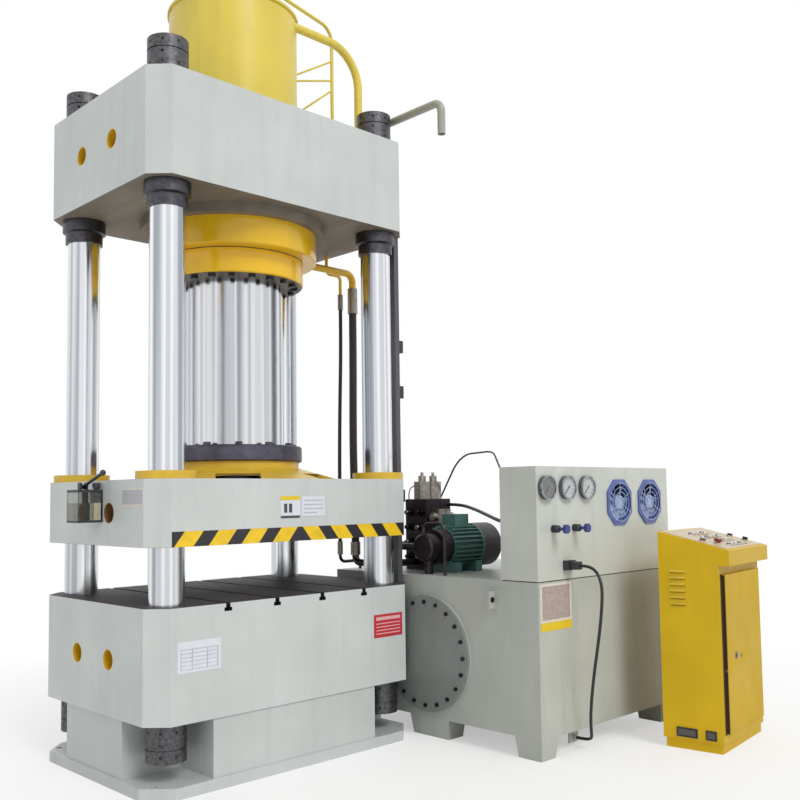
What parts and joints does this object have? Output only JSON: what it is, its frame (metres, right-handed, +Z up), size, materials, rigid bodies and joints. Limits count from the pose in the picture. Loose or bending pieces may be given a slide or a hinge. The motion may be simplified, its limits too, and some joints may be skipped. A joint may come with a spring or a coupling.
{
  "type": "hydraulic press",
  "caption": "Four-column down-acting hydraulic press with a prefill tank, a power pack with gauges and fans, and a separate sloping control console.",
  "frame": {"origin": "centre of the pedestal's underside on the press axis, at floor level", "axes": "+Z up along the ram, +X to the right along the press front towards the power pack, +Y to the back"},
  "size_m": [3.5487, 2.9475, 4.8858],
  "materials": {
    "grey_green_paint": "gloss enamel",
    "yellow_paint": "gloss enamel",
    "chrome_plate": "polished hard chrome",
    "dark_steel": "oxidised turned steel",
    "machined_iron": "machined and oiled",
    "steel_pipe": "drawn tube",
    "hose_rubber": "smooth outer cover",
    "seal_rubber": "moulded",
    "cable_sheath": "extruded sheath",
    "black_plastic": "moulded",
    "blue_plastic": "moulded",
    "pale_blue_plastic": "moulded",
    "clear_plastic": "translucent reservoir",
    "gauge_glass": "flat clear glass",
    "silver_alloy": "machined",
    "motor_green": "satin enamel",
    "red_plastic": "moulded",
    "green_plastic": "moulded",
    "pointer_black": "painted pointer",
    "grey_enamel": "satin enamel"
  },
  "bodies": {
    "press": {"pedestal": "grey_green_paint", "bed": "grey_green_paint", "columns": "chrome_plate", "column_nuts": "dark_steel", "crown": "grey_green_paint", "main_cylinder": "yellow_paint", "gland_ring": "yellow_paint", "ram_seals": "seal_rubber", "fixed_bolts": "dark_steel", "prefill_tank": "grey_green_paint", "tank_lid": "grey_green_paint", "prefill_valve": "machined_iron", "tank_pipe": "yellow_paint", "pipe_stand": "yellow_paint", "vent_gooseneck": "grey_green_paint", "crown_pipes": "yellow_paint", "pressure_hose": "hose_rubber", "drain_hose": "hose_rubber", "hose_ferrules": "steel_pipe", "switch_rail": "grey_enamel", "limit_switches": "black_plastic", "pilot_valves": "silver_alloy", "oil_tank": "grey_green_paint", "inspection_cover": "grey_green_paint", "instrument_box": "grey_green_paint", "gauge_cases": "black_plastic", "gauge_glasses": "gauge_glass", "needle_valve_bodies": "steel_pipe", "fan_frames": "blue_plastic", "cable_connector": "black_plastic", "control_cable": "cable_sheath", "motor": "motor_green", "motor_cowl": "black_plastic", "pump": "machined_iron", "valve_block": "machined_iron", "steel_tubes": "steel_pipe", "console_cabinet": "yellow_paint", "control_panel": "silver_alloy"},
    "slide_group": {"slide": "grey_green_paint", "guide_bushes": "yellow_paint", "ram": "chrome_plate", "ram_flange": "dark_steel", "ram_cover": "yellow_paint", "lubricator_pump": "black_plastic", "lubricator_reservoir": "clear_plastic", "trip_dog": "steel_pipe"},
    "lubricator_lever_group": {"lubricator_lever": "black_plastic"},
    "gauge_pointer_left_group": {"gauge_pointer_left": "pointer_black"},
    "gauge_pointer_middle_group": {"gauge_pointer_middle": "pointer_black"},
    "gauge_pointer_right_group": {"gauge_pointer_right": "pointer_black"},
    "needle_valve_knob_left_group": {"needle_valve_knob_left": "blue_plastic"},
    "needle_valve_knob_right_group": {"needle_valve_knob_right": "blue_plastic"},
    "fan_rotor_left_group": {"fan_rotor_left": "pale_blue_plastic"},
    "fan_rotor_right_group": {"fan_rotor_right": "pale_blue_plastic"},
    "motor_rotor_group": {"motor_rotor": "machined_iron"},
    "console_door_group": {"console_door": "yellow_paint"},
    "emergency_stop_group": {"emergency_stop": "red_plastic"},
    "selector_switch_group": {"selector_switch": "black_plastic"},
    "press_button_left_group": {"press_button_left": "green_plastic"},
    "press_button_right_group": {"press_button_right": "green_plastic"}
  },
  "joints": [
    {"name": "slide_travel", "type": "slide", "parent": "press", "child": "slide_group", "axis": [0, 0, 1], "range_m": [0, 0.9]},
    {"name": "lubricator_stroke", "type": "hinge", "parent": "slide_group", "child": "lubricator_lever_group", "pos_m": [-0.985, -0.01, 1.573], "axis": [1, 0, 0], "range_deg": [-20, 8]},
    {"name": "fan_spin_left", "type": "hinge", "parent": "press", "child": "fan_rotor_left_group", "pos_m": [1.8137, -1.5, 1.441], "axis": [0, -1, 0], "continuous": true},
    {"name": "fan_spin_right", "type": "hinge", "parent": "press", "child": "fan_rotor_right_group", "pos_m": [2.16763, -1.5, 1.441], "axis": [0, -1, 0], "continuous": true},
    {"name": "needle_turn_left", "type": "hinge", "parent": "press", "child": "needle_valve_knob_left_group", "pos_m": [1.122, -1.6, 1.297], "axis": [0, -1, 0], "range_deg": [0, 720]},
    {"name": "needle_turn_right", "type": "hinge", "parent": "press", "child": "needle_valve_knob_right_group", "pos_m": [1.328, -1.6, 1.297], "axis": [0, -1, 0], "range_deg": [0, 720]},
    {"name": "gauge_sweep_left", "type": "hinge", "parent": "press", "child": "gauge_pointer_left_group", "pos_m": [1.0558, -1.595, 1.535], "axis": [0, 1, 0], "range_deg": [0, 270], "stiffness_Nm_per_rad": 0.002, "springref_deg": -22.92},
    {"name": "gauge_sweep_middle", "type": "hinge", "parent": "press", "child": "gauge_pointer_middle_group", "pos_m": [1.25314, -1.595, 1.535], "axis": [0, 1, 0], "range_deg": [0, 270], "stiffness_Nm_per_rad": 0.002, "springref_deg": -22.92},
    {"name": "gauge_sweep_right", "type": "hinge", "parent": "press", "child": "gauge_pointer_right_group", "pos_m": [1.45048, -1.595, 1.535], "axis": [0, 1, 0], "range_deg": [0, 270], "stiffness_Nm_per_rad": 0.002, "springref_deg": -22.92},
    {"name": "motor_spin", "type": "hinge", "parent": "press", "child": "motor_rotor_group", "pos_m": [1.33, -0.62, 1.166], "axis": [1, 0, 0], "continuous": true},
    {"name": "door_swing", "type": "hinge", "parent": "press", "child": "console_door_group", "pos_m": [2.446, -2.16046, 0.56], "axis": [0, 0, 1], "range_deg": [0, 110]},
    {"name": "stop_push", "type": "slide", "parent": "press", "child": "emergency_stop_group", "axis": [-0.0297, 0.2353, -0.9715], "range_m": [0, 0.006]},
    {"name": "selector_turn", "type": "hinge", "parent": "press", "child": "selector_switch_group", "pos_m": [2.36595, -2.12516, 1.18879], "axis": [0.0297, -0.2353, 0.9715], "range_deg": [-45, 45]},
    {"name": "button_left_push", "type": "slide", "parent": "press", "child": "press_button_left_group", "axis": [-0.0297, 0.2353, -0.9715], "range_m": [0, 0.004], "stiffness_N_per_m": 500, "springref_m": -0.003},
    {"name": "button_right_push", "type": "slide", "parent": "press", "child": "press_button_right_group", "axis": [-0.0297, 0.2353, -0.9715], "range_m": [0, 0.004], "stiffness_N_per_m": 500, "springref_m": -0.003}
  ]
}
